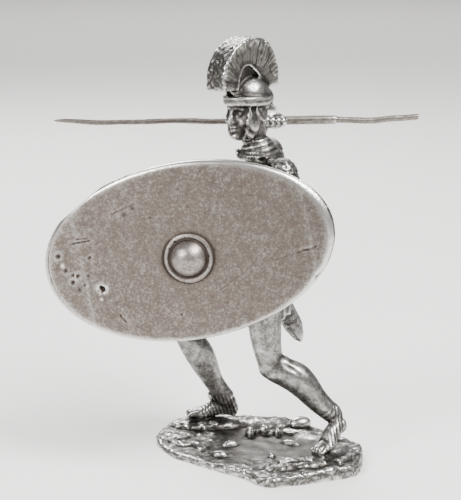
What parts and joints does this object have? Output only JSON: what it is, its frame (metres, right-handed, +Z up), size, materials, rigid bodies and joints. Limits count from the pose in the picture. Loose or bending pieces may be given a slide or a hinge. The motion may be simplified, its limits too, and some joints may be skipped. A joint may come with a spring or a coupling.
{
  "type": "cast metal toy soldier miniature, roman legionary",
  "caption": "Small cast tin roman soldier striding on a thin rocky base, with an oval shield held in front and a slim javelin raised in the fist.",
  "frame": {"origin": "middle of the base's flat underside", "axes": "+Z up, the soldier strides towards -X, the shield faces -Y"},
  "size_m": [0.0552, 0.0306, 0.0623],
  "materials": {
    "cast_tin_figure": "bare cast tin alloy, grey, worn bright on the high places",
    "cast_tin_shield": "bare cast tin alloy with a brown grey patina",
    "cast_tin_javelin": "bare cast tin alloy, dull"
  },
  "bodies": {
    "root": {"soldier_with_base": "cast_tin_figure", "shield": "cast_tin_shield", "javelin": "cast_tin_javelin"}
  },
  "joints": []
}
